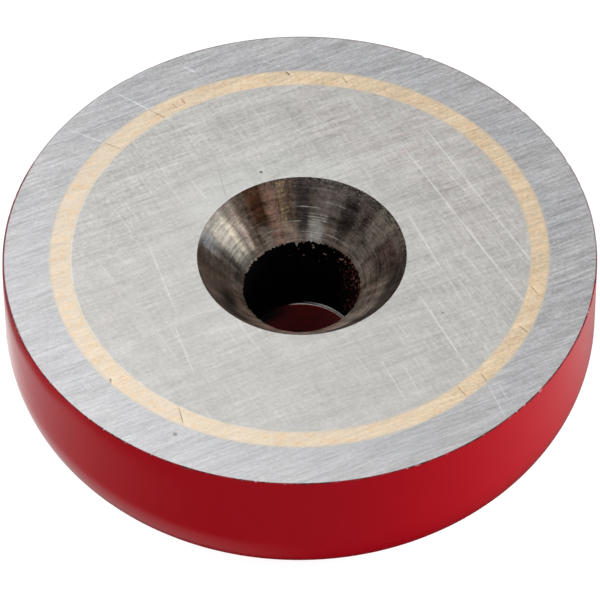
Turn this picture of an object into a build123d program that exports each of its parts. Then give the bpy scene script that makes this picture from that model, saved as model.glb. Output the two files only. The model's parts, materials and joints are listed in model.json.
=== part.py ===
from build123d import *

import os

# Shallow pot magnet, in millimetres. Origin at the centre of the back, +Z towards the holding face.

# Overall size, over the lacquer
FACE_DIAMETER = 28.6
HEIGHT = 8.5
LACQUER = 0.08

# Outside of the pot: slightly tapered wall, then a rounded lower corner
WALL_TAPER = 0.0145       # radius lost for each millimetre below the face
CORNER_RADIUS = 4.3

# Inside of the pot
RING_OUTER_RADIUS = 12.0
FLOOR_TOP = 2.0           # height of the pot's floor above the back
HOLE_RADIUS = 2.65        # hole in the steel floor, an M5 clearance hole, before lacquer
HOLE_DEBURR = 0.1

# Spacer ring
RING_INNER_RADIUS = 11.1
RING_LEAD = 0.25          # chamfer that starts the ring into the pot

# Magnet core
BOND_THICKNESS = 0.08
CAST_BORE_RADIUS = 2.9
COUNTERSINK_RADIUS = 5.07     # at the face, for an M5 countersunk head
CORE_CHAMFER = 0.3            # lower outer edge

FACE_RADIUS = FACE_DIAMETER / 2 - LACQUER
CORE_BOTTOM = FLOOR_TOP + BOND_THICKNESS
# The countersink is a 90 degree cone, so it is as deep as it is wide
COUNTERSINK_BOTTOM = HEIGHT - (COUNTERSINK_RADIUS - CAST_BORE_RADIUS)


def turned(*edges):
    """A solid of revolution about Z from the edges of a closed half-section in the XZ plane."""
    return revolve(make_face(Wire(edges)), Axis.Z, 360)


def line_between(*points):
    """Straight edges from each (radius, height) point to the next."""
    places = [Vector(radius, 0, height) for radius, height in points]
    return [Edge.make_line(start, end) for start, end in zip(places, places[1:])]


def outer_skin(growth):
    """The outside from the back to the face, grown outwards, and the radii where it starts and ends."""
    corner = CORNER_RADIUS + growth
    centre_height = CORNER_RADIUS + LACQUER
    rim = FACE_RADIUS + growth
    wall_foot = rim - WALL_TAPER * (HEIGHT - centre_height)
    back = wall_foot - corner
    section = Plane(origin=(back, 0, centre_height), x_dir=(1, 0, 0), z_dir=(0, -1, 0))
    round_corner = Edge.make_circle(corner, plane=section, start_angle=270, end_angle=360)
    wall = Edge.make_line(Vector(wall_foot, 0, centre_height), Vector(rim, 0, HEIGHT))
    return [round_corner, wall], back, rim


def steel_pot():
    skin, back, rim = outer_skin(0)
    recess = line_between(
        (rim, HEIGHT),
        (RING_OUTER_RADIUS, HEIGHT),
        (RING_OUTER_RADIUS, FLOOR_TOP),
        (HOLE_RADIUS + HOLE_DEBURR, FLOOR_TOP),
        (HOLE_RADIUS, FLOOR_TOP - HOLE_DEBURR),
        (HOLE_RADIUS, LACQUER),
        (back, LACQUER),
    )
    return turned(*skin, *recess)


def red_lacquer():
    """One coat over the wall, the back and the hole's wall. It stops at the ground face."""
    outside, back, rim = outer_skin(LACQUER)
    inside, inner_back, inner_rim = outer_skin(0)
    hole_top = FLOOR_TOP - HOLE_DEBURR
    lining = line_between(
        (inner_back, LACQUER),
        (HOLE_RADIUS, LACQUER),
        (HOLE_RADIUS, hole_top),
        (HOLE_RADIUS - LACQUER, hole_top),
        (HOLE_RADIUS - LACQUER, 0),
        (back, 0),
    )
    top_edge = line_between((rim, HEIGHT), (inner_rim, HEIGHT))
    return turned(*outside, *top_edge, *inside, *lining)


def brass_ring():
    section = line_between(
        (RING_INNER_RADIUS, FLOOR_TOP),
        (RING_OUTER_RADIUS - RING_LEAD, FLOOR_TOP),
        (RING_OUTER_RADIUS, FLOOR_TOP + RING_LEAD),
        (RING_OUTER_RADIUS, HEIGHT),
        (RING_INNER_RADIUS, HEIGHT),
        (RING_INNER_RADIUS, FLOOR_TOP),
    )
    return turned(*section)


def alnico_core():
    section = line_between(
        (CAST_BORE_RADIUS, CORE_BOTTOM),
        (RING_INNER_RADIUS - CORE_CHAMFER, CORE_BOTTOM),
        (RING_INNER_RADIUS, CORE_BOTTOM + CORE_CHAMFER),
        (RING_INNER_RADIUS, HEIGHT),
        (COUNTERSINK_RADIUS, HEIGHT),
        (CAST_BORE_RADIUS, COUNTERSINK_BOTTOM),
        (CAST_BORE_RADIUS, CORE_BOTTOM),
    )
    return turned(*section)


def bond_film():
    section = line_between(
        (CAST_BORE_RADIUS, FLOOR_TOP),
        (RING_INNER_RADIUS - CORE_CHAMFER, FLOOR_TOP),
        (RING_INNER_RADIUS - CORE_CHAMFER, CORE_BOTTOM),
        (CAST_BORE_RADIUS, CORE_BOTTOM),
        (CAST_BORE_RADIUS, FLOOR_TOP),
    )
    return turned(*section)


os.makedirs("parts", exist_ok=True)
for sub_part in (steel_pot, alnico_core, brass_ring, bond_film, red_lacquer):
    export_step(sub_part(), f"parts/{sub_part.__name__}.step")
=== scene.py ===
import json
import math
from functools import reduce

import bpy
import numpy as np
from mathutils import Matrix, Vector


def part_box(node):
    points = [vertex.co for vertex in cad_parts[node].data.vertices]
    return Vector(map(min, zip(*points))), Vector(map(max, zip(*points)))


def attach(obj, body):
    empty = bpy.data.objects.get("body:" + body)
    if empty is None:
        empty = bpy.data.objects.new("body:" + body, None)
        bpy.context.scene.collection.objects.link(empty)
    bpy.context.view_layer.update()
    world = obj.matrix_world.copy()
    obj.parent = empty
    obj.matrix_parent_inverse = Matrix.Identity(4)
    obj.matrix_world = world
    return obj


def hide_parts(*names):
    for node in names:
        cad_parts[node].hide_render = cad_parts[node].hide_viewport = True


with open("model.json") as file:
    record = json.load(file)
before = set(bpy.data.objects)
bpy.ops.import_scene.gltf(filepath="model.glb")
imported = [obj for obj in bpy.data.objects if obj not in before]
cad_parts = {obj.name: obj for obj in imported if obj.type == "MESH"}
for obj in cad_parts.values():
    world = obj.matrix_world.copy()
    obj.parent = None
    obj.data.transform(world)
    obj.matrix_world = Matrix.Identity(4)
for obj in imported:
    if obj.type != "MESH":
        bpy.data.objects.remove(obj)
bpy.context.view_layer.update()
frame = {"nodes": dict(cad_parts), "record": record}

# Sizes and meshes are in metres, in the frame of the CAD model: origin in the centre of the back, +Z to the
# holding face. Marks and materials are in millimetres in the same frame.
MM = 0.001
NODES = frame["nodes"]


# ---------------------------------------------------------------- sizes taken from the frame

def mount_radius(name):
    """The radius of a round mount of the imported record."""
    return next(m["dims"]["r_mm"] for m in frame["record"]["mounts"] if m["name"] == name) * MM


def radii_at(node, height):
    """The smallest and largest radius of a CAD node's points at one height."""
    points = np.array([v.co for v in NODES[node].data.vertices])
    level = points[np.abs(points[:, 2] - height) < 0.001 * MM]
    radii = np.hypot(level[:, 0], level[:, 1])
    return radii.min(), radii.max()


FACE_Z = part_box("red_lacquer")[1].z
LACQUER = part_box("steel_pot")[0].z
COAT_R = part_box("red_lacquer")[1].x
STEEL_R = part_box("steel_pot")[1].x
RING_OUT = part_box("brass_ring")[1].x
RING_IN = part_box("alnico_core")[1].x
FLOOR_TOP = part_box("brass_ring")[0].z
CORE_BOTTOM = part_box("alnico_core")[0].z
SINK_R = radii_at("alnico_core", FACE_Z)[0]
BORE_R = mount_radius("cast_bore")
LINING_R = mount_radius("screw_hole")
HOLE_R = LINING_R + LACQUER
BACK_R = radii_at("red_lacquer", 0.0)[1]
CORE_CHAMFER = RING_IN - radii_at("alnico_core", CORE_BOTTOM)[1]
RING_LEAD = RING_OUT - radii_at("brass_ring", FLOOR_TOP)[1]
DEBURR = radii_at("steel_pot", FLOOR_TOP)[0] - HOLE_R

LINING_TOP = FLOOR_TOP - 1.4 * DEBURR     # the lacquer in the hole stops here
CORNER_R = 4.38 * MM                      # the rounded lower corner, over the lacquer
WALL_FOOT_R = BACK_R + CORNER_R


# ---------------------------------------------------------------- noise that the meshes use

class Waves:
    """A sum of cosines round the axis and up it: smooth seeded noise that closes on itself."""

    def __init__(self, seed, count, turns, rises, falloff):
        pick = np.random.default_rng(seed)
        self.turns = np.round(pick.uniform(turns[0], turns[1], count))
        self.rises = pick.uniform(-1, 1, count) * rises
        self.phases = pick.uniform(0, 2 * math.pi, count)
        self.sizes = np.hypot(self.turns, 1.0) ** -falloff
        self.sizes /= math.sqrt((self.sizes ** 2).sum() / 2)

    def at(self, angle, height=0.0):
        total = np.zeros(np.broadcast(angle, height).shape)
        for turn, rise, phase, size in zip(self.turns, self.rises, self.phases, self.sizes):
            total += size * np.cos(turn * angle + rise * height + phase)
        return total


# ---------------------------------------------------------------- marks in the face, in mm from its centre

RING_CRACKS = [((8.52, -7.54), (8.84, -8.10)), ((7.44, -8.40), (7.81, -8.97)),
               ((11.04, -2.10), (11.37, -2.62)), ((10.45, -4.62), (10.87, -5.07)),
               ((-5.78, -9.50), (-5.57, -10.50)), ((-5.69, 10.30), (-5.46, 9.90)),
               ((-6.10, 9.95), (-5.86, 9.60)), ((2.20, 11.55), (2.45, 11.10))]
# Two scratches cross the rim, the ring and the core
LONG_SCRATCH = ((-9.03, 10.81), (-5.98, 8.65))
SIDE_SCRATCH = ((-11.30, 8.38), (-8.30, 6.84))
RING_GASHES = [((-9.02, -7.60), (-9.02, -8.20)), ((-0.57, 11.97), (-0.35, 11.72))]
RIM_BRIGHT = [LONG_SCRATCH, ((-5.61, 12.38), (-4.97, 11.97))]
RIM_FAINT = [SIDE_SCRATCH, ((-1.69, 12.68), (-0.79, 12.25)), ((8.84, -8.21), (9.64, -10.33)),
             ((9.36, -8.22), (9.75, -9.20))]
CORE_BRIGHT = [((4.70, 7.62), (11.35, -4.25)), ((5.90, 8.61), (11.66, -1.49)),
               ((5.20, 2.66), (6.81, -1.00)), ((5.62, -2.43), (8.17, -7.75))]
CORE_MEDIUM = [((3.02, 5.86), (3.66, 4.59)), ((6.58, 5.94), (8.19, 3.90)),
               ((3.76, -6.57), (5.08, -9.48)), ((4.85, -6.93), (5.77, -9.25)),
               ((-7.35, 1.11), (-5.87, -3.68)), ((-8.26, -5.45), (-7.92, -5.23)),
               ((-6.05, -4.20), (-5.00, -7.60)), ((7.00, 3.40), (8.30, 0.70)),
               ((6.90, -0.20), (8.60, -3.60)), ((7.66, 0.27), (9.03, -1.96)),
               ((8.79, 1.98), (10.16, -0.26)), ((6.94, -1.21), (7.90, -3.45)), LONG_SCRATCH]
CORE_DARK = [((-3.90, 5.78), (-3.52, 3.76)), ((-9.40, 3.20), (-6.60, 4.60))]
# Small pits, each as a very short groove
RIM_PIT = ((-5.97, -11.10), (-5.93, -11.09))
CORE_PIT = ((-1.84, 5.40), (-1.78, 5.37))


def groove(x, y, places, width, depth):
    """How far each point of the face sinks into grooves that run from start to end, in metres."""
    sunk = np.zeros(x.shape)
    for (x1, y1), (x2, y2) in places:
        x1, y1, x2, y2 = (value * MM for value in (x1, y1, x2, y2))
        length = math.hypot(x2 - x1, y2 - y1)
        c, s = (x2 - x1) / length, (y2 - y1) / length
        along = np.clip((x - x1) * c + (y - y1) * s, 0, length)
        away = np.hypot(x - x1 - along * c, y - y1 - along * s)
        sunk = np.maximum(sunk, depth * np.clip(1 - away / width, 0, 1))
    return sunk


# ---------------------------------------------------------------- lathe

def steps(start, end, count):
    """count points from start up to, but not including, end."""
    a, b = np.array(start, float), np.array(end, float)
    return [tuple(a + (b - a) * k / count) for k in range(count)]


SHARP_EDGE = 28.0             # degrees between faces from which an edge is shaded sharp
SEGMENTS = 1440               # round the pot and the ring


def lathe(name, section, segments, shape):
    """A closed ring-shaped mesh from a closed (radius, height) section. shape moves its points."""
    section = np.array(section, float)
    rows = len(section)
    angle = np.arange(segments)[:, None] * (2 * math.pi / segments) + np.zeros((1, rows))
    radius = np.repeat(section[None, :, 0], segments, 0)
    height = np.repeat(section[None, :, 1], segments, 0)
    radius, height = shape(radius, height, angle)
    points = np.stack([radius * np.cos(angle), radius * np.sin(angle), height], -1).reshape(-1, 3)
    here = np.arange(segments)[:, None] * rows + np.arange(rows)[None, :]
    turned_on = np.roll(here, -1, 0)
    quads = np.stack([here, turned_on, np.roll(turned_on, -1, 1), np.roll(here, -1, 1)], -1).reshape(-1, 4)
    mesh = bpy.data.meshes.new(name)
    mesh.vertices.add(len(points))
    mesh.vertices.foreach_set("co", points.ravel())
    mesh.loops.add(quads.size)
    mesh.loops.foreach_set("vertex_index", quads.ravel().astype(np.int32))
    mesh.polygons.add(len(quads))
    mesh.polygons.foreach_set("loop_start", np.arange(0, quads.size, 4, dtype=np.int32))
    mesh.update(calc_edges=True)
    mesh.validate()
    mesh.shade_smooth()
    mesh.set_sharp_from_angle(angle=math.radians(SHARP_EDGE))
    piece = bpy.data.objects.new(name, mesh)
    bpy.context.scene.collection.objects.link(piece)
    return piece


def stands_for(piece, node, material):
    """Gives a piece its material and its body, and puts it in the place of a CAD node."""
    piece.data.materials.append(material)
    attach(piece, "root")
    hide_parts(node)


# ---------------------------------------------------------------- material nodes

class Nodes:
    """Builds one procedural material. Coordinates are the object's own, in millimetres."""

    def __init__(self, name):
        self.material = bpy.data.materials.new(name)
        self.material.use_nodes = True
        self.tree = self.material.node_tree
        self.tree.nodes.clear()
        self.shader = self.add("ShaderNodeBsdfPrincipled")
        output = self.add("ShaderNodeOutputMaterial")
        self.link(self.shader.outputs["BSDF"], output.inputs["Surface"])
        place = self.add("ShaderNodeTexCoord").outputs["Object"]
        self.place = self.vector("SCALE", place, 1 / MM)
        parts = self.add("ShaderNodeSeparateXYZ")
        self.link(self.place, parts.inputs[0])
        self.x, self.y, self.z = parts.outputs
        self.radius = self.math("SQRT", self.total(self.times(self.x, self.x), self.times(self.y, self.y)))
        self.angle = self.math("ARCTAN2", self.y, self.x)

    def add(self, kind, **settings):
        node = self.tree.nodes.new(kind)
        for key, value in settings.items():
            setattr(node, key, value)
        return node

    def link(self, start, end):
        self.tree.links.new(start, end)

    def feed(self, socket, value):
        """Links an output to a socket, or sets the socket's own value."""
        if isinstance(value, bpy.types.NodeSocket):
            self.link(value, socket)
        else:
            socket.default_value = value

    def math(self, operation, a, b=0.0, clamp=False):
        node = self.add("ShaderNodeMath", operation=operation, use_clamp=clamp)
        for socket, value in zip(node.inputs, (a, b)):
            self.feed(socket, value)
        return node.outputs[0]

    def total(self, *values):
        """The sum of several values."""
        return reduce(lambda a, b: self.math("ADD", a, b), values)

    def times(self, *values):
        """The product of several values."""
        return reduce(lambda a, b: self.math("MULTIPLY", a, b), values)

    def greatest(self, *values):
        return reduce(lambda a, b: self.math("MAXIMUM", a, b), values)

    def vector(self, operation, a, b):
        node = self.add("ShaderNodeVectorMath", operation=operation)
        self.feed(node.inputs[0], a)
        self.feed(node.inputs["Scale"] if operation == "SCALE" else node.inputs[1], b)
        return node.outputs[0]

    def combine(self, x, y, z):
        node = self.add("ShaderNodeCombineXYZ")
        for socket, value in zip(node.inputs, (x, y, z)):
            self.feed(socket, value)
        return node.outputs[0]

    def span(self, value, low, high, to_low=0.0, to_high=1.0):
        """value taken smoothly from low..high to to_low..to_high, and held at both ends."""
        node = self.add("ShaderNodeMapRange", interpolation_type="SMOOTHSTEP")
        for socket, number in zip(node.inputs, (value, low, high, to_low, to_high)):
            self.feed(socket, number)
        return node.outputs[0]

    def noise(self, place, scale, detail, roughness=0.5):
        node = self.add("ShaderNodeTexNoise", noise_dimensions="3D")
        self.feed(node.inputs["Vector"], place)
        node.inputs["Scale"].default_value = scale
        node.inputs["Detail"].default_value = detail
        node.inputs["Roughness"].default_value = roughness
        return node.outputs[0]

    def mix(self, share, a, b):
        """From colour a to colour b."""
        node = self.add("ShaderNodeMix", data_type="RGBA")
        self.feed(node.inputs["Factor"], share)
        for socket, colour in zip([s for s in node.inputs if s.type == "RGBA"], (a, b)):
            self.feed(socket, colour)
        return next(s for s in node.outputs if s.type == "RGBA")

    def scale_colour(self, colour, factor):
        """A colour made lighter or darker by a factor that varies."""
        return self.vector("SCALE", colour, factor)

    def bump(self, height, distance, strength):
        node = self.add("ShaderNodeBump")
        node.inputs["Strength"].default_value = strength
        node.inputs["Distance"].default_value = distance
        self.feed(node.inputs["Height"], height)
        return node.outputs[0]

    def moved(self, x, y, z):
        """The coordinates shifted, for a noise that differs from the others."""
        return self.vector("ADD", self.place, (x, y, z))

    def along(self, degrees):
        """Distances along and across a direction in the face's plane."""
        c, s = math.cos(math.radians(degrees)), math.sin(math.radians(degrees))
        run = self.total(self.times(self.x, c), self.times(self.y, s))
        off = self.math("SUBTRACT", self.times(self.y, c), self.times(self.x, s))
        return run, off

    def grinding(self, degrees, length, width, seed, detail=3.0, roughness=0.6):
        """Streaks along a direction, length by width across, about 0.5 on average."""
        run, off = self.along(degrees)
        place = self.combine(self.times(run, 1 / length), self.times(off, 1 / width), seed)
        return self.noise(place, 1.0, detail, roughness)

    def scratch(self, start, end, width):
        """1 on a straight scratch from start to end, fading at its edges and tips, 0 elsewhere."""
        (x1, y1), (x2, y2) = start, end
        length = math.hypot(x2 - x1, y2 - y1)
        run, off = self.along(math.degrees(math.atan2(y2 - y1, x2 - x1)))
        c, s = (x2 - x1) / length, (y2 - y1) / length
        off_middle = y1 * c - x1 * s
        run_middle = (x1 + x2) / 2 * c + (y1 + y2) / 2 * s
        off = self.math("ABSOLUTE", self.math("SUBTRACT", off, off_middle))
        run = self.math("ABSOLUTE", self.math("SUBTRACT", run, run_middle))
        return self.times(self.span(off, width * 0.3, width, 1.0, 0.0),
                          self.span(run, length * 0.35, length * 0.5, 1.0, 0.0))

    def finish(self, **sockets):
        for name, value in sockets.items():
            self.feed(self.shader.inputs[name.replace("_", " ")], value)
        return self.material


# ---------------------------------------------------------------- materials

GRIND = 25.0                  # degrees of the surface grinder's lines from +X
CROSS_GRIND = -63.0           # degrees of the older, steeper set on the core
PALE_LINE = (0.84, 0.84, 0.80, 1)         # colours of single lines in the core's face
GREY_LINE = (0.33, 0.33, 0.33, 1)


def centred(n, noise, size):
    """A noise about 0.5 turned into one about 0, size times as strong."""
    return n.times(n.math("SUBTRACT", noise, 0.5), size)


def ground_lines(n, degrees, seed, fine, coarse, broad):
    """The lines of one grinding direction, light and dark, about 0 on average."""
    return n.total(
        centred(n, n.grinding(degrees, 0.9, 0.050, seed, 2.0, 0.6), fine),
        centred(n, n.grinding(degrees, 2.2, 0.13, seed + 7.3, 3.0, 0.6), coarse),
        centred(n, n.grinding(degrees, 6.0, 0.75, seed + 15.1, 2.0, 0.5), broad),
    )


def marks(n, places, width):
    """1 on each (start, end) mark of the list, in millimetres on the face, broken up along its length."""
    worn = n.span(n.noise(n.place, 1.6, 2.0), 0.30, 0.60, 0.45, 1.0)
    return n.times(n.greatest(*[n.scratch(start, end, width) for start, end in places]), worn)


def near_radius(n, radius, reach):
    """1 at a radius in metres, fading to 0 reach millimetres to either side."""
    return n.span(n.math("ABSOLUTE", n.math("SUBTRACT", n.radius, radius / MM)), 0.0, reach, 1.0, 0.0)


def facing(n, azimuth, none, full):
    """0 to 1 as the cosine of the angle away from an azimuth goes from none to full."""
    return n.span(n.math("COSINE", n.math("SUBTRACT", n.angle, math.radians(azimuth))), none, full)


def spot(n, x, y, radius):
    """1 in a small round spot of the face."""
    across = n.math("SUBTRACT", n.x, x)
    up = n.math("SUBTRACT", n.y, y)
    away = n.math("SQRT", n.total(n.times(across, across), n.times(up, up)))
    return n.span(away, radius * 0.5, radius, 1.0, 0.0)


def pot_steel():
    n = Nodes("ground_steel")
    lines = n.total(ground_lines(n, GRIND, 3.0, 0.62, 0.70, 0.26),
                    centred(n, n.noise(n.place, 6.5, 2.0, 0.6), 0.42))
    # Strongest at the back and on the right
    contrast = n.total(n.times(facing(n, 40, -0.4, 0.6), 0.60),
                       n.times(facing(n, 150, 0.85, 0.98), 0.3), 0.9)
    lines = n.times(lines, contrast)
    cloud = n.noise(n.place, 0.45, 3.0)
    tint = n.noise(n.moved(3.0, 8.0, 5.0), 2.6, 2.0, 0.6)
    colour = n.mix(cloud, (0.525, 0.535, 0.548, 1), (0.580, 0.575, 0.575, 1))
    colour = n.mix(n.span(tint, 0.35, 0.65, 0.0, 0.35), colour, (0.560, 0.545, 0.575, 1))
    colour = n.scale_colour(colour, n.total(lines, 1.0))
    fleck = n.grinding(GRIND, 0.35, 0.06, 41.0, 1.0, 0.5)
    colour = n.mix(n.span(fleck, 0.68, 0.80, 0.0, 0.5), colour, (0.86, 0.84, 0.86, 1))
    bright = marks(n, RIM_BRIGHT, 0.06)
    for mark, share in ((bright, 0.75), (marks(n, RIM_FAINT, 0.055), 0.42)):
        colour = n.mix(n.times(mark, share), colour, (0.90, 0.91, 0.93, 1))
    pit = spot(n, -5.95, -11.10, 0.12)
    colour = n.mix(n.times(pit, 0.75), colour, (0.08, 0.08, 0.085, 1))
    colour = n.mix(n.times(near_radius(n, RING_OUT, 0.11), 0.42), colour, (0.74, 0.62, 0.47, 1))
    # Lacquer dragged over the steel's edge on the left
    at_edge = n.span(n.radius, STEEL_R / MM - 0.06, STEEL_R / MM - 0.03)
    colour = n.mix(n.times(at_edge, facing(n, 178, 0.88, 0.96), 0.85), colour, (0.18, 0.012, 0.030, 1))
    on_top = n.span(n.z, FACE_Z / MM - 0.02, FACE_Z / MM - 0.005)
    # Below the face, the hole's edge shows bare steel in pale lines, widest on the right where they catch
    # the light, so in part a painted highlight; the floor round it is painted near-black, as shade in the
    # bore
    inner_line = near_radius(n, HOLE_R + 0.20 * DEBURR, 0.034)
    outer_line = n.times(near_radius(n, HOLE_R + 0.82 * DEBURR, 0.050), facing(n, 20, 0.35, 0.80))
    bare_and_lit = n.times(n.greatest(inner_line, outer_line), facing(n, 28, 0.24, 0.44))
    bare_and_lit = n.times(bare_and_lit, n.span(n.noise(n.place, 5.0, 2.0), 0.30, 0.48, 0.55, 1.0))
    bare_and_lit = n.greatest(bare_and_lit, n.span(n.radius, RING_OUT / MM, RING_OUT / MM + 0.5))
    inner = n.mix(bare_and_lit, (0.010, 0.004, 0.004, 1), (0.97, 0.92, 0.92, 1))
    colour = n.mix(on_top, inner, colour)
    height = n.total(lines, n.times(bright, -0.5))
    return n.finish(
        Base_Color=colour,
        Metallic=1.0,
        Roughness=n.total(n.times(cloud, 0.10), 0.36),
        Normal=n.bump(height, 0.004 * MM, 0.6),
    )


def alnico_face():
    n = Nodes("ground_alnico")
    lines = ground_lines(n, GRIND, 11.0, 0.48, 0.46, 0.34)
    cross = ground_lines(n, CROSS_GRIND, 19.0, 0.26, 0.22, 0.14)
    grain = centred(n, n.noise(n.place, 5.5, 2.0, 0.6), 0.40)
    cloud = n.noise(n.place, 0.42, 4.0, 0.6)
    tint = n.noise(n.moved(31.0, 7.0, 0.0), 0.30, 3.0)
    colour = n.mix(tint, (0.570, 0.571, 0.543, 1), (0.604, 0.575, 0.560, 1))
    rosy = n.times(facing(n, 45, 0.55, 0.95), n.span(n.radius, 6.0, 8.5),
                   n.span(n.grinding(GRIND, 2.4, 0.50, 4.0), 0.44, 0.60))
    colour = n.mix(n.times(rosy, 0.55), colour, (0.560, 0.505, 0.485, 1))
    near_sink = n.span(n.radius, SINK_R / MM + 0.2, SINK_R / MM + 2.8, 1.0, 0.0)
    colour = n.mix(n.times(near_sink, 0.30), colour, (0.615, 0.615, 0.590, 1))
    behind_sink = n.times(near_sink, facing(n, 105, 0.45, 0.90))
    colour = n.mix(n.times(behind_sink, 0.75), colour, (0.665, 0.665, 0.640, 1))
    # On the right the older lines show through the newer ones
    older = n.times(facing(n, -8, 0.80, 0.97), n.span(n.radius, 6.0, 7.5))
    shown_lines = n.times(lines, n.math("SUBTRACT", 1.0, n.times(older, 0.40)))
    shown_cross = n.times(cross, n.total(1.0, n.times(older, 0.6)))
    rough_patch = n.times(facing(n, 150, 0.75, 0.95), n.span(n.radius, 7.0, 9.0))
    calm_patch = n.times(facing(n, 50, -0.6, 0.4), near_sink)
    contrast = n.total(n.times(facing(n, 40, -0.4, 0.6), 0.50), n.times(rough_patch, 0.45),
                       n.times(calm_patch, -0.36), 0.78)
    fine = n.times(n.total(shown_lines, shown_cross, grain), contrast)
    colour = n.scale_colour(colour, n.total(fine, centred(n, cloud, 0.24), 1.0))
    # Single long lines: old ones across, then pale and grey ones along the grinding
    for streak, low, high, share, shade in (
        (n.grinding(CROSS_GRIND + 1.5, 5.0, 0.16, 57.0, 1.0, 0.5), 0.66, 0.78, 0.34, PALE_LINE),
        (n.grinding(GRIND + 3.0, 4.0, 0.14, 63.0, 1.0, 0.5), 0.68, 0.80, 0.30, PALE_LINE),
        (n.grinding(GRIND - 2.0, 3.0, 0.12, 71.0, 1.0, 0.5), 0.66, 0.80, 0.30, GREY_LINE),
    ):
        colour = n.mix(n.span(streak, low, high, 0.0, share), colour, shade)
    bright = marks(n, CORE_BRIGHT, 0.075)
    for mark, share in ((bright, 0.56), (marks(n, CORE_MEDIUM, 0.06), 0.36)):
        colour = n.mix(n.times(mark, share), colour, (0.86, 0.86, 0.83, 1))
    colour = n.mix(n.times(marks(n, CORE_DARK, 0.04), 0.35), colour, (0.25, 0.25, 0.25, 1))
    dark = n.greatest(spot(n, -1.81, 5.39, 0.10), spot(n, 6.80, -3.75, 0.06))
    colour = n.mix(n.times(dark, 0.8), colour, (0.07, 0.07, 0.07, 1))
    seam = near_radius(n, RING_IN, 0.12)
    colour = n.mix(n.times(seam, 0.38), colour, (0.72, 0.61, 0.47, 1))
    # On the left and at the back the grinder smeared the ring over the core's edge
    smear_from = n.math("SUBTRACT", RING_IN / MM, n.times(facing(n, 175, 0.0, 0.9), 0.13))
    from_smear = n.math("SUBTRACT", n.radius, smear_from)
    smear = n.times(n.span(from_smear, -0.03, 0.03), facing(n, 160, -0.4, 0.1))
    brassy = n.mix(n.span(fine, -0.3, 0.3), (0.725, 0.610, 0.470, 1), (0.815, 0.715, 0.575, 1))
    colour = n.mix(n.times(smear, 0.90), colour, brassy)
    burr = n.times(n.span(n.math("ABSOLUTE", from_smear), 0.0, 0.06, 1.0, 0.0), facing(n, 215, 0.30, 0.80),
                   n.span(n.noise(n.place, 1.5, 3.0, 0.6), 0.36, 0.60))
    colour = n.mix(n.times(burr, 0.50), colour, (0.88, 0.83, 0.76, 1))
    height = n.total(lines, cross, n.times(bright, -0.6))
    return n.finish(
        Base_Color=colour,
        Metallic=1.0,
        Roughness=n.total(n.times(cloud, 0.12), 0.42),
        Normal=n.bump(height, 0.004 * MM, 0.6),
    )


def sink_wedge(n, azimuth, half_width, low, high, soft=0.35):
    """1 in a wedge of the countersink about an azimuth, between two radii in millimetres."""
    across = facing(n, azimuth, math.cos(math.radians(half_width)), math.cos(math.radians(half_width * 0.3)))
    return n.times(across, n.span(n.radius, low - soft, low + soft),
                   n.span(n.radius, high - soft, high + soft, 1.0, 0.0))


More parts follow.
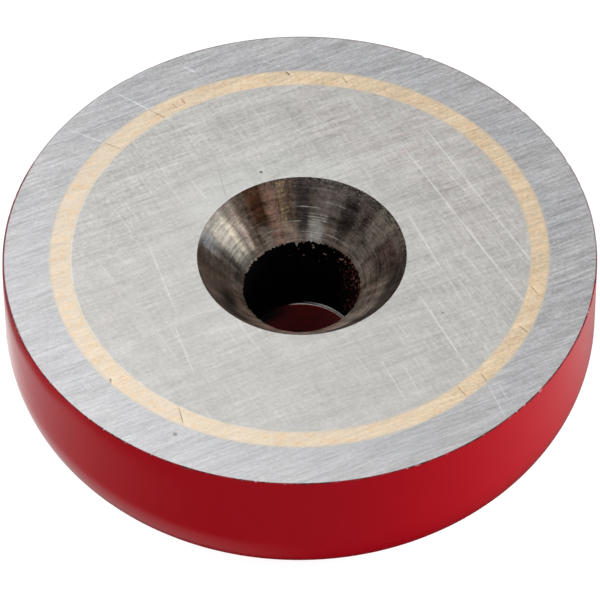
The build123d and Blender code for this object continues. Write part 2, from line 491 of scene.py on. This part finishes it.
def alnico_cone():
    """The countersink: turned, with fine circular tool lines and radial chatter; oxide and heat tint in
    patches, and wedges of painted light and shade.
    """
    n = Nodes("countersink_alnico")
    sine, cosine = n.math("SINE", n.angle), n.math("COSINE", n.angle)
    round_it = n.combine(n.times(n.radius, 9.0), n.times(sine, 1.6), n.times(cosine, 1.6))
    rings = n.noise(round_it, 1.7, 3.0, 0.7)
    down_it = n.combine(n.times(n.radius, 0.35), n.times(sine, 7.0), n.times(cosine, 7.0))
    spokes = n.noise(down_it, 1.0, 3.0, 0.6)
    grain = n.noise(n.place, 6.0, 3.0, 0.65)
    patches = n.noise(n.place, 1.3, 3.0, 0.6)
    colour = n.mix(n.span(patches, 0.3, 0.7), (0.085, 0.060, 0.050, 1), (0.150, 0.122, 0.102, 1))
    low = n.span(n.radius, 3.0, 3.9, 1.0, 0.0)
    colour = n.mix(n.times(low, 0.55), colour, (0.33, 0.265, 0.215, 1))
    ragged = n.span(n.noise(n.moved(4.0, 1.0, 6.0), 3.6, 3.0, 0.7), 0.30, 0.50, 0.70, 1.03)
    # Each wedge mixes in its colour; some are oxide and heat tint, others painted light and shade
    for azimuth, half_width, inner, outer, shade, share in SINK_TINTS_AND_SHADING:
        wedge = sink_wedge(n, azimuth, half_width, inner, outer)
        colour = n.mix(n.times(wedge, ragged, share), colour, (*shade, 1))
    blotch = n.noise(n.moved(2.0, 7.0, 4.0), 2.8, 3.0, 0.65)
    fine = n.total(centred(n, rings, 2.5), centred(n, spokes, 1.5), centred(n, grain, 1.4),
                   centred(n, patches, 1.0), centred(n, blotch, 1.4))
    fine = n.times(fine, n.span(facing(n, 149, 0.93, 0.985), 0.0, 1.0, 1.0, 0.60))
    colour = n.scale_colour(colour, n.greatest(n.total(fine, 1.0), 0.25))
    lines = n.greatest(*[sink_wedge(n, azimuth, half_width, radius - 0.016, radius + 0.016, 0.016)
                         for azimuth, half_width, radius in SINK_LINES])
    flake = n.times(sink_wedge(n, 101, 5, 3.2, 5.2), n.span(n.noise(n.place, 7.0, 3.0, 0.7), 0.56, 0.62))
    colour = n.mix(n.times(flake, 0.8), colour, (0.66, 0.44, 0.22, 1))
    # The scratches' pale colour is strongest about azimuth 76, where they catch the light: a painted
    # highlight on real scratches
    shown = n.times(n.span(blotch, 0.35, 0.60, 0.25, 1.0),
                    n.span(facing(n, 76, 0.90, 0.99), 0.0, 1.0, 0.45, 0.9))
    colour = n.mix(n.times(lines, shown), colour, (0.66, 0.65, 0.62, 1))
    # Bright specks near the mouth at the back, and nicks on the right
    near_mouth = n.span(n.radius, SINK_R / MM - 0.55, SINK_R / MM - 0.10)
    speck = n.times(near_mouth, facing(n, 55, 0.35, 0.75),
                    n.span(n.noise(n.place, 13.0, 1.0, 0.5), 0.58, 0.68, 0.0, 0.45))
    nick = n.times(n.span(cosine, 0.1, 0.6),
                   n.span(n.noise(n.moved(9.0, 4.0, 2.0), 9.0, 2.0, 0.6), 0.66, 0.72, 0.0, 0.6))
    colour = n.mix(n.greatest(speck, nick), colour, (0.62, 0.59, 0.56, 1))
    # A broken, dark and crumbling upper edge
    crumb = n.noise(n.moved(1.0, 5.0, 8.0), 5.0, 3.0, 0.7)
    worn = n.times(n.span(n.radius, SINK_R / MM - 0.30, SINK_R / MM - 0.05), n.span(crumb, 0.50, 0.60))
    colour = n.mix(n.times(worn, 0.7), colour, (0.05, 0.035, 0.030, 1))
    front = n.span(sine, -0.95, -0.2, 1.0, 0.0)
    height = n.total(rings, n.times(grain, 0.5), n.times(lines, -0.4))
    return n.finish(
        Base_Color=colour,
        Metallic=1.0,
        Roughness=n.total(n.times(spokes, 0.25), n.times(front, 0.22), 0.21),
        Normal=n.bump(height, 0.012 * MM, 0.8),
    )


# Wedges of the countersink: azimuth and half width in degrees, radii from and to in mm, colour, strength.
# The browns and golds from 96 to 128 degrees are oxide and heat tint. The pale wedges from 212 to 350
# degrees, on the near side, are painted light. Those from 128 to 186 degrees are the lamp's highlight,
# painted darker and tinted, with painted shade round it.
SINK_TINTS_AND_SHADING = [
    (308, 70, 2.7, 4.30, (0.80, 0.67, 0.58), 0.80),
    (350, 45, 2.7, 3.4, (0.66, 0.56, 0.48), 0.65),
    (270, 44, 2.7, 3.9, (0.42, 0.21, 0.18), 0.70),
    (236, 26, 2.9, 3.9, (0.38, 0.26, 0.21), 0.60),
    (262, 60, 4.4, 5.3, (0.17, 0.125, 0.100), 0.60),
    (186, 21, 3.5, 5.3, (0.036, 0.029, 0.022), 0.85),
    (172, 10, 2.7, 4.0, (0.034, 0.027, 0.021), 0.80),
    (150, 18, 2.7, 5.3, (0.037, 0.0355, 0.0325), 0.96),
    (163, 9, 2.7, 4.1, (0.020, 0.017, 0.014), 0.80),
    (150, 30, 2.6, 3.3, (0.022, 0.019, 0.016), 0.85),
    (149, 9, 3.2, 4.8, (0.068, 0.062, 0.053), 0.70),
    (143, 4, 3.2, 4.6, (0.104, 0.091, 0.071), 0.75),
    (165, 7, 4.2, 5.3, (0.066, 0.071, 0.075), 0.80),
    (175, 6, 4.2, 5.3, (0.030, 0.024, 0.018), 0.70),
    (128, 7, 2.9, 5.3, (0.028, 0.020, 0.015), 0.85),
    (137, 7, 4.5, 5.4, (0.030, 0.025, 0.021), 0.70),
    (118, 8, 3.6, 5.3, (0.066, 0.025, 0.011), 0.90),
    (109, 6, 2.7, 5.0, (0.34, 0.200, 0.145), 0.85),
    (101, 3, 3.2, 5.0, (0.40, 0.270, 0.170), 0.60),
    (99, 8, 2.6, 3.6, (0.40, 0.290, 0.230), 0.60),
    (96, 5, 3.4, 5.3, (0.190, 0.130, 0.095), 0.70),
    (87, 6, 3.1, 4.9, (0.056, 0.046, 0.046), 0.85),
    (76, 9, 2.7, 3.6, (0.46, 0.43, 0.40), 0.80),
    (72, 12, 3.9, 5.3, (0.24, 0.200, 0.180), 0.65),
    (54, 8, 3.3, 4.7, (0.040, 0.030, 0.028), 0.88),
    (29, 11, 3.8, 5.3, (0.28, 0.240, 0.195), 0.68),
    (6, 18, 3.6, 4.8, (0.140, 0.085, 0.068), 0.60),
    (212, 28, 2.6, 3.4, (0.46, 0.330, 0.260), 0.75),
    (206, 6, 3.5, 3.9, (0.010, 0.007, 0.006), 1.0),
    (224, 14, 4.1, 4.6, (0.030, 0.022, 0.019), 0.80),
]

# Bright circular scratches of the countersink: middle and half width in degrees, radius in mm
SINK_LINES = [(75, 9, 3.83), (77, 10, 3.73), (74, 8, 3.64), (78, 7, 3.56), (78, 13, 3.20), (76, 11, 3.12),
              (74, 12, 3.03), (48, 24, 3.22), (62, 7, 3.45), (30, 12, 3.30), (95, 8, 3.55), (66, 9, 4.30),
              (84, 10, 4.05), (112, 9, 3.35), (20, 9, 3.85), (79, 6, 3.45)]


def alnico_cast():
    """The as-cast bore: black grainy scale, painted near-black as shade deep in the bore, with red overspray
    on the side that faced the spray gun and painted glints near its top.
    """
    n = Nodes("cast_alnico")
    grain = n.noise(n.place, 6.0, 4.0, 0.65)
    colour = n.mix(grain, (0.0005, 0.0005, 0.0005, 1), (0.0026, 0.0022, 0.0020, 1))
    drops = n.noise(n.place, 6.2, 3.0, 0.7)
    red = n.times(facing(n, 2, 0.62, 0.97), n.span(drops, 0.50, 0.60))
    colour = n.mix(n.times(red, 0.9), colour, (0.165, 0.040, 0.028, 1))
    pale = n.times(facing(n, 15, 0.85, 0.97), n.span(drops, 0.59, 0.66))
    colour = n.mix(n.times(pale, 0.8), colour, (0.46, 0.26, 0.20, 1))
    glint = n.times(n.span(n.noise(n.moved(5.0, 3.0, 9.0), 4.0, 1.0, 0.5), 0.655, 0.70),
                    n.span(n.z, 4.8, 5.8), facing(n, 50, 0.6, 0.9))
    colour = n.mix(glint, colour, (0.72, 0.48, 0.43, 1))
    return n.finish(
        Base_Color=colour,
        Roughness=n.total(n.times(grain, 0.3), 0.6),
        Specular_IOR_Level=0.08,
        Normal=n.bump(grain, 0.05 * MM, 0.8),
    )


def brass():
    n = Nodes("ground_brass")
    lines = ground_lines(n, GRIND, 23.0, 0.46, 0.50, 0.26)
    grain = centred(n, n.noise(n.place, 6.0, 2.0, 0.6), 0.45)
    uneven = n.total(n.times(facing(n, 30, -0.5, 0.3), 0.55), 0.60)
    cloud = n.noise(n.place, 0.55, 3.0, 0.6)
    # Paler on the left: a painted sheen, where the highlight whitens the ring
    pale_sheen_left = facing(n, 205, -0.45, 0.75)
    colour = n.mix(pale_sheen_left, (0.840, 0.675, 0.475, 1), (0.770, 0.668, 0.545, 1))
    colour = n.mix(n.span(cloud, 0.35, 0.65, 0.0, 0.4), colour, (0.800, 0.680, 0.530, 1))
    amber = n.noise(n.moved(6.0, 2.0, 1.0), 1.9, 3.0, 0.65)
    colour = n.mix(n.span(amber, 0.48, 0.64, 0.0, 0.6), colour, (0.815, 0.605, 0.385, 1))
    colour = n.scale_colour(colour, n.total(n.times(n.total(lines, grain), uneven), 1.0))
    streak = n.grinding(GRIND, 1.4, 0.07, 83.0, 1.0, 0.5)
    colour = n.mix(n.span(streak, 0.66, 0.80, 0.0, 0.34), colour, (0.54, 0.41, 0.27, 1))
    pale = n.grinding(GRIND, 1.2, 0.08, 89.0, 1.0, 0.5)
    colour = n.mix(n.span(pale, 0.66, 0.80, 0.0, 0.42), colour, (0.96, 0.88, 0.74, 1))
    crack = marks(n, RING_CRACKS, 0.04)
    colour = n.mix(n.times(crack, 0.65), colour, (0.30, 0.18, 0.09, 1))
    crossing = marks(n, [LONG_SCRATCH, SIDE_SCRATCH], 0.05)
    colour = n.mix(n.times(crossing, 0.60), colour, (0.34, 0.20, 0.11, 1))
    gash = marks(n, RING_GASHES, 0.06)
    colour = n.mix(n.times(gash, 0.9), colour, (0.06, 0.05, 0.035, 1))
    seam = n.greatest(n.times(near_radius(n, RING_IN, 0.14), facing(n, -20, -0.1, 0.4)),
                      near_radius(n, RING_OUT, 0.14))
    colour = n.mix(n.times(seam, 0.50), colour, (0.66, 0.60, 0.53, 1))
    return n.finish(
        Base_Color=colour,
        Metallic=1.0,
        Roughness=n.total(n.times(cloud, 0.12), 0.40),
        Normal=n.bump(lines, 0.004 * MM, 0.5),
    )


def lacquer():
    n = Nodes("red_lacquer")
    cloud = n.noise(n.place, 0.6, 3.0)
    colour = n.mix(cloud, (0.360, 0.0025, 0.0080, 1), (0.385, 0.0032, 0.0105, 1))
    inside = n.span(n.radius, LINING_R / MM + 0.1, LINING_R / MM + 0.4, 1.0, 0.0)
    lining = n.mix(n.noise(n.place, 1.2, 3.0, 0.6), (0.370, 0.012, 0.014, 1), (0.520, 0.018, 0.022, 1))
    # Near-black at the top of the lining on the back left: painted shade, made rougher too
    lining_shade = n.times(facing(n, 150, 0.50, 0.90), n.span(n.z, 0.7, 1.6))
    lining = n.mix(lining_shade, lining, (0.004, 0.001, 0.001, 1))
    colour = n.mix(inside, colour, lining)
    # The ground edge of the film: dark and red in turn, the dark a painted shade of the edge, with pale pink
    # flecks of painted highlight and a darker red on the left; steel is smeared over it at the back
    cut = n.span(n.z, FACE_Z / MM - 0.05, FACE_Z / MM - 0.004)
    edge_shade_noise = n.noise(n.place, 2.2, 3.0, 0.7)
    film = n.mix(n.span(edge_shade_noise, 0.42, 0.56), (0.045, 0.008, 0.010, 1), (0.26, 0.012, 0.018, 1))
    film = n.mix(n.span(n.noise(n.place, 3.3, 2.0, 0.6), 0.60, 0.68, 0.0, 0.8), film, (0.62, 0.42, 0.42, 1))
    behind = facing(n, 76, 0.10, 0.30)
    film = n.mix(behind, film, (0.27, 0.255, 0.255, 1))
    film = n.mix(facing(n, 177, 0.90, 0.96), film, (0.15, 0.006, 0.018, 1))
    cut = n.greatest(cut, n.times(behind, n.span(n.z, FACE_Z / MM - 0.20, FACE_Z / MM - 0.12)))
    colour = n.mix(n.times(cut, 0.92), colour, film)
    peel = n.noise(n.place, 1.1, 2.0)
    return n.finish(
        Base_Color=colour,
        Roughness=n.total(n.times(inside, lining_shade, 0.5), 0.15),
        IOR=1.5,
        Normal=n.bump(peel, 0.02 * MM, 0.3),
    )


def adhesive():
    n = Nodes("cured_adhesive")
    colour = n.mix(n.noise(n.place, 2.0, 3.0), (0.20, 0.15, 0.08, 1), (0.33, 0.26, 0.15, 1))
    return n.finish(
        Base_Color=colour,
        Roughness=n.total(n.times(n.noise(n.place, 5.0, 2.0), 0.2), 0.4),
        Normal=n.bump(n.noise(n.place, 3.0, 2.0), 0.02 * MM, 0.5),
    )


# ---------------------------------------------------------------- pieces

def outer_profile(growth, rows_wall, rows_corner):
    """The outside from the face down to the back, grown outwards from the steel."""
    corner = CORNER_R - LACQUER + growth
    centre = (WALL_FOOT_R - CORNER_R, CORNER_R)
    wall = steps((STEEL_R + growth, FACE_Z), (centre[0] + corner, CORNER_R), rows_wall)
    turns = [math.pi / 2 * k / rows_corner for k in range(rows_corner + 1)]
    return wall + [(centre[0] + corner * math.cos(t), centre[1] - corner * math.sin(t)) for t in turns]


def on_face(height):
    """Which points lie on the ground face."""
    return height > FACE_Z - 0.001 * MM


# The hole's edge in the pot's floor, out and up from the lining's top, in widths of the CAD chamfer: two
# facets that catch the light, with a steeper one between them
HOLE_EDGE = [(0.0, 0.0), (0.38, 0.24), (0.50, 0.62), (1.15, 1.02)]


def make_pot(material):
    section = (
        steps((RING_OUT, FACE_Z), (STEEL_R, FACE_Z), 24)
        + outer_profile(0, 8, 10)
        + steps((HOLE_R, LACQUER), (HOLE_R, LINING_TOP), 3)
        + [(HOLE_R + out * DEBURR, LINING_TOP + up * DEBURR) for out, up in HOLE_EDGE]
        + [(HOLE_R + 1.25 * DEBURR, FLOOR_TOP), (RING_OUT, FLOOR_TOP)]
    )

    def shape(radius, height, angle):
        face = on_face(height) & (radius > RING_OUT + 0.01 * MM)
        x, y = radius * np.cos(angle), radius * np.sin(angle)
        pits = groove(x, y, [RIM_PIT], 0.12 * MM, 0.015 * MM)
        return radius, height - np.where(face, pits, 0)

    stands_for(lathe("steel_pot_ground", section, SEGMENTS, shape), "steel_pot", material)


def make_ring(material):
    section = [
        *steps((RING_IN, FACE_Z), (RING_OUT, FACE_Z), 14),
        (RING_OUT, FACE_Z),
        (RING_OUT, FLOOR_TOP + RING_LEAD),
        (RING_OUT - RING_LEAD, FLOOR_TOP),
        (RING_IN, FLOOR_TOP),
    ]

    def shape(radius, height, angle):
        x, y = radius * np.cos(angle), radius * np.sin(angle)
        sunk = np.maximum(groove(x, y, RING_CRACKS, 0.07 * MM, 0.005 * MM),
                          groove(x, y, RING_GASHES, 0.08 * MM, 0.012 * MM))
        return radius, height - np.where(on_face(height), sunk, 0)

    stands_for(lathe("spacer_ring_ground", section, SEGMENTS, shape), "brass_ring", material)


def make_core(face_material, cone_material, cast_material):
    sink_depth = SINK_R - BORE_R
    edge_z = FACE_Z - sink_depth
    segments, bore_rows, cone_rows, face_rows = 720, 54, 26, 46
    face_starts = bore_rows + cone_rows
    section = (
        steps((BORE_R, CORE_BOTTOM), (BORE_R, edge_z), bore_rows)
        + steps((BORE_R, edge_z), (SINK_R, FACE_Z), cone_rows)
        + steps((SINK_R, FACE_Z), (RING_IN, FACE_Z), face_rows)
        + [(RING_IN, FACE_Z), (RING_IN, CORE_BOTTOM + CORE_CHAMFER), (RING_IN - CORE_CHAMFER, CORE_BOTTOM)]
    )
    scale = Waves(5, 70, (3, 95), 24.0 / MM, 0.45)
    lumps = Waves(6, 24, (2, 18), 4.0 / MM, 0.3)
    teeth = Waves(7, 60, (16, 170), 0.0, 0.45)
    chatter = Waves(8, 22, (5, 46), 0.25 / MM, 0.8)

    def shape(radius, height, angle):
        rows = np.arange(radius.shape[1])[None, :] + np.zeros(radius.shape)
        # Scale hangs from the bore's upper edge in small teeth, and in one long one at the back
        tooth = 0.17 * MM * np.exp(-((angle - math.radians(92.5)) / math.radians(1.2)) ** 2)
        edge = (0.020 * teeth.at(angle) - 0.06 + 0.09 * np.cos(angle)) * MM - tooth
        # The cone's lower rows follow the ragged edge down and in along the cone
        fade = np.clip(1 - (rows - bore_rows) / 7.0, 0, 1) * (rows >= bore_rows)
        radius, height = radius + edge * fade, height + edge * fade
        # The countersink leans a little, so it is steeper on the front
        depth = np.clip((edge_z - height) / (edge_z - CORE_BOTTOM), 0, 1)
        in_bore = rows < bore_rows
        lean = 0.0265 * (np.sin(angle) - 1) * np.clip(SINK_R - radius, 0, None)
        lean = np.where(in_bore, lean * np.clip(1 - depth * 3, 0, 1), np.where(on_face(height), 0, lean))
        height = height + lean
        # The bore narrows and drifts towards +X at the pot's floor, and is rough all the way
        rough = (0.016 * scale.at(angle, height) + 0.022 * lumps.at(angle, height)) * MM
        drift = (0.085 * np.cos(angle) - 0.215) * MM * depth
        near_edge = np.clip((bore_rows - rows) / 4.0, 0, 1)
        radius = radius + np.where(in_bore, drift + rough * near_edge + edge * (1 - near_edge), 0)
        height = height + np.where(in_bore & (rows > 0), edge * (1 - near_edge), 0)
        # Tool chatter in the cone
        in_cone = np.clip((rows - bore_rows) / 4.0, 0, 1) * np.clip((face_starts - rows) / 2.0, 0, 1)
        height = height + 0.0075 * MM * chatter.at(angle, height) * in_cone
        # The countersink's mouth is a little to the right of the middle
        off_centre = (0.115 * np.cos(angle) - 0.03) * MM
        in_mouth = np.where(rows < face_starts, (radius - BORE_R) / sink_depth,
                            (RING_IN - radius) / (RING_IN - SINK_R))
        radius = radius + off_centre * np.clip(in_mouth, 0, 1) * (rows >= bore_rows)
        x, y = radius * np.cos(angle), radius * np.sin(angle)
        pit = groove(x, y, [CORE_PIT], 0.14 * MM, 0.01 * MM)
        return radius, height - np.where(on_face(height), pit, 0)

    piece = lathe("alnico_core_ground", section, segments, shape)
    stands_for(piece, "alnico_core", face_material)
    piece.data.materials.append(cone_material)
    piece.data.materials.append(cast_material)
    # A quad takes its row from the point of the section that it starts at. The hidden sides come after the
    # face and share its material, which is the first.
    row = np.tile(np.arange(len(section)), segments)
    kind = np.where(row < bore_rows, 2, np.where(row < face_starts, 1, 0))
    piece.data.polygons.foreach_set("material_index", kind.astype(np.int32))


def make_coat(material):
    # The wall has finer rows in a band below the ground edge, in place of the profile's first two
    band = 0.3 * MM
    band_foot = (COAT_R - (COAT_R - WALL_FOOT_R) * band / (FACE_Z - CORNER_R), FACE_Z - band)
    section = (
        [(STEEL_R, FACE_Z), (STEEL_R + LACQUER * 0.5, FACE_Z)]
        + steps((COAT_R, FACE_Z), band_foot, 8)
        + [band_foot]
        + outer_profile(LACQUER, 24, 24)[2:]
        + steps((LINING_R, 0.0), (LINING_R, LINING_TOP), 6)
        + [(LINING_R, LINING_TOP), (HOLE_R, LINING_TOP), (HOLE_R, LACQUER)]
        + outer_profile(0, 8, 10)[:0:-1]
    )
    ragged = Waves(11, 60, (40, 400), 0.0, 0.5)
    patchy = Waves(12, 10, (1, 9), 0.0, 0.5)
    pick = np.random.default_rng(14)
    dust = [(pick.uniform(-math.pi, math.pi), pick.uniform(2.0, 8.0) * MM, pick.uniform(0.09, 0.17) * MM,
             pick.uniform(0.008, 0.022) * MM) for _ in range(46)]

    def shape(radius, height, angle):
        outer = radius > STEEL_R - 6 * MM
        from_top = FACE_Z - height
        # The film thins towards the ground edge, most of all on the left
        left = 0.5 - 0.5 * np.cos(angle - math.radians(-20))
        draw_back = (0.006 + 0.034 * left ** 2) * MM * np.clip(1 - from_top / (1.3 * MM), 0, 1) ** 2
        skin = outer & (radius > STEEL_R + 0.01 * MM)
        radius = radius - np.where(skin, draw_back, 0)
        # The grinder broke small flakes from the edge
        loose = 0.5 * ragged.at(angle) + 0.35 * patchy.at(angle) - 0.75
        flake = 0.09 * MM * np.clip(loose, 0, 0.6)
        for azimuth, width, size in CHIPS:
            turn = np.abs(np.angle(np.exp(1j * (angle - math.radians(azimuth)))))
            flake = np.maximum(flake, size * MM * np.clip(1 - (turn / math.radians(width)) ** 2, 0, 1))
        near = np.clip(1 - from_top / band, 0, 1)
        height = height - np.where(outer & (from_top < band), flake * near, 0)
        # Dust under the lacquer
        for azimuth, z, size, rise in dust:
            turn = np.angle(np.exp(1j * (angle - azimuth)))
            away = np.hypot(turn * radius, height - z) / size
            radius = radius + np.where(skin & (away < 1), rise * (1 - np.clip(away, 0, 1) ** 2) ** 2, 0)
        return radius, height

    stands_for(lathe("red_lacquer_coat", section, 1160, shape), "red_lacquer", material)


# Flakes missing from the lacquer's ground edge: azimuth, half width in degrees, depth in mm
CHIPS = [(203.4, 0.8, 0.16), (247.3, 1.0, 0.17), (248.6, 0.6, 0.10), (281.0, 0.5, 0.09), (232.0, 0.35, 0.07),
         (238.5, 0.3, 0.06), (256.0, 0.3, 0.05), (224.0, 0.3, 0.05), (318.0, 0.4, 0.06), (64.0, 0.5, 0.08)]


make_pot(pot_steel())
make_ring(brass())
make_core(alnico_face(), alnico_cone(), alnico_cast())
make_coat(lacquer())
NODES["bond_film"].data.materials.clear()
NODES["bond_film"].data.materials.append(adhesive())


# ---------------------------------------------------------------- studio

FLOOR_SIZE = 6.0


def flat_floor(name, z, material):
    """A level square of FLOOR_SIZE about the axis."""
    half = FLOOR_SIZE / 2
    mesh = bpy.data.meshes.new(name)
    corners = [(-half, -half, z), (half, -half, z), (half, half, z), (-half, half, z)]
    mesh.from_pydata(corners, [], [(0, 1, 2, 3)])
    mesh.materials.append(material)
    floor = bpy.data.objects.new(name, mesh)
    bpy.context.scene.collection.objects.link(floor)
    return floor


def softbox(name, place, size, watts):
    """A square area light, size metres wide, aimed at the middle of the part."""
    data = bpy.data.lights.new(name, "AREA")
    data.shape = "SQUARE"
    data.size = size
    data.energy = watts
    lamp = bpy.data.objects.new(name, data)
    lamp.location = place
    lamp.rotation_mode = "QUATERNION"
    lamp.rotation_quaternion = (Vector((0, 0, FACE_Z / 2)) - Vector(place)).to_track_quat("-Z", "Y")
    bpy.context.scene.collection.objects.link(lamp)
    return lamp


def camera(elevation, distance, lens, roll, aim):
    """A camera in front of the part, looking down at a point on its axis."""
    back = Vector((0, -math.cos(math.radians(elevation)), math.sin(math.radians(elevation))))
    data = bpy.data.cameras.new("camera")
    data.sensor_width = 36.0
    data.lens = lens
    data.clip_start, data.clip_end = 0.01, 20.0
    seen = bpy.data.objects.new("camera", data)
    turn = (-back).to_track_quat("-Z", "Y").to_matrix() @ Matrix.Rotation(math.radians(roll), 3, "Z")
    seen.rotation_mode = "QUATERNION"
    seen.rotation_quaternion = turn.to_quaternion()
    seen.location = Vector(aim) + back * distance
    bpy.context.scene.collection.objects.link(seen)
    bpy.context.scene.camera = seen


def pale_floor():
    """Pale all over. It glows white outside the part's footprint, and is dark red inside the hole."""
    n = Nodes("pale_floor")
    # Inside the hole the floor only gets light that comes off the red lining
    colour = n.mix(n.span(n.radius, 3.0, 5.0), (0.035, 0.004, 0.005, 1), (0.15, 0.15, 0.15, 1))
    # The glow fades out under the rounded lower corner: a painted contact shadow
    glow = n.span(n.radius, BACK_R / MM - 1.0, BACK_R / MM + 2.6, 0.0, 0.97)
    floor = flat_floor("floor", 0.0, n.finish(
        Base_Color=colour, Roughness=0.8, Emission_Color=(1, 1, 1, 1), Emission_Strength=glow))
    floor.visible_glossy = False


def table_seen_in_the_gloss():
    """What the gloss reflects of the table: dark in front and under the wall, pale at the sides and back."""
    n = Nodes("reflected_table")
    across = n.math("DIVIDE", n.x, n.radius)
    back = n.math("ADD", n.math("DIVIDE", n.math("DIVIDE", n.y, n.radius), 0.93), 1.0, clamp=True)
    left = n.span(across, -0.35, 0.35, 1.0, 0.0)
    level = n.times(n.math("POWER", back, 1.2), n.span(left, 0.0, 1.0, 0.44, 0.62))
    # In the magnet's own shade on the right
    shade = n.span(n.radius, 12.5, 18.0, 0.3, 1.0)
    level = n.times(level, n.greatest(shade, left))
    from_band = n.math("ABSOLUTE", n.math("SUBTRACT", n.radius, 14.7))
    band = n.times(n.span(from_band, 0.6, 2.1, 1.0, 0.0), n.span(across, -0.50, 0.10, 1.0, 0.0))
    level = n.total(level, n.times(band, n.total(n.times(back, 0.20), 0.18)))
    # Something dark stands further to the left
    lift = n.times(n.greatest(n.total(n.y, 1.5), 0.0), 0.28)
    inside = n.times(n.span(n.math("SUBTRACT", n.x, lift), -18.5, -17.6),
                     n.span(n.radius, 19.2, 20.3, 1.0, 0.0))
    level = n.times(level, n.greatest(n.span(inside, 0.0, 1.0, 0.12, 1.0), n.math("SUBTRACT", 1.0, left)))
    # Dark under the part, with a little light left for the hole's lining
    level = n.greatest(n.times(level, n.span(n.radius, 9.0, 12.5)), n.span(n.radius, 3.0, 5.0, 0.040, 0.0))
    card = flat_floor("gloss_card", -0.1 * MM, n.finish(
        Base_Color=(0, 0, 0, 1), Roughness=1.0, Specular_IOR_Level=0.0, Emission_Color=(1, 1, 1, 1),
        Emission_Strength=level))
    card.visible_camera = card.visible_diffuse = card.visible_shadow = False


def surround(front, back):
    """Plain light from above and all round, a little brighter behind the part than behind the camera."""
    world = bpy.data.worlds.new("studio")
    world.use_nodes = True
    tree = world.node_tree
    parts = tree.nodes.new("ShaderNodeSeparateXYZ")
    tree.links.new(tree.nodes.new("ShaderNodeTexCoord").outputs["Generated"], parts.inputs[0])
    strength = tree.nodes.new("ShaderNodeMapRange")
    tree.links.new(parts.outputs["Y"], strength.inputs[0])
    for socket, value in zip(strength.inputs[1:], (-1.0, 1.0, front, back)):
        socket.default_value = value
    background = tree.nodes["Background"]
    background.inputs["Color"].default_value = (1, 1, 1, 1)
    tree.links.new(strength.outputs[0], background.inputs["Strength"])
    bpy.context.scene.world = world


pale_floor()
table_seen_in_the_gloss()
surround(front=0.41, back=0.52)
softbox("right", (0.30, 0.03, 0.10), 0.18, 1.15)
softbox("near_left", (-0.045, 0.070, 0.172), 0.06, 0.068)
side_lamp = softbox("wall_left", (-0.22, 0.12, 0.07), 0.15, 0.36)
side_lamp.visible_glossy = False

camera(elevation=49.06, distance=422.4 * MM, lens=524.9, roll=-0.66, aim=(0, 0, 5.23 * MM))
bpy.context.scene.view_settings.view_transform = "Standard"
